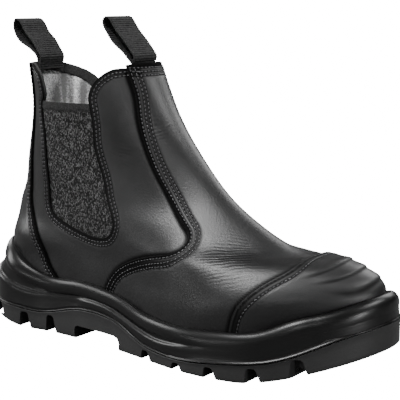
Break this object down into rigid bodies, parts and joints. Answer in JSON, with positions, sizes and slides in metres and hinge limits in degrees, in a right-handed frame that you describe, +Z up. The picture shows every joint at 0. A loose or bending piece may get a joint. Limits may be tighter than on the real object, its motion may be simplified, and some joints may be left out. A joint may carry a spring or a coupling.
{
  "type": "side gore work boot",
  "caption": "Ankle-high pull-on safety boot with elastic side gores, webbing pull loops, a stitched toe bumper cap and a lugged sole.",
  "frame": {"origin": "on the floor under the middle of the heel tread", "axes": "+X towards the toe, +Y towards the inner (medial) side, +Z up"},
  "size_m": [0.3086, 0.1162, 0.222],
  "materials": {
    "black_leather": "satin smooth grain",
    "bumper_leather": "coated, semi-matt",
    "gore_elastic": "woven elastic, matt",
    "webbing": "ribbed webbing, matt",
    "midsole_foam": "moulded, satin",
    "outsole_rubber": "moulded, fine texture",
    "sock_fabric": "spacer mesh lining, matt"
  },
  "bodies": {
    "root": {"upper": "black_leather", "toe_cap": "bumper_leather", "heel_counter": "black_leather", "gore_lateral": "gore_elastic", "gore_medial": "gore_elastic", "pull_loop_back": "webbing", "pull_loop_front": "webbing", "insole": "sock_fabric", "midsole": "midsole_foam", "outsole": "outsole_rubber"}
  },
  "joints": []
}
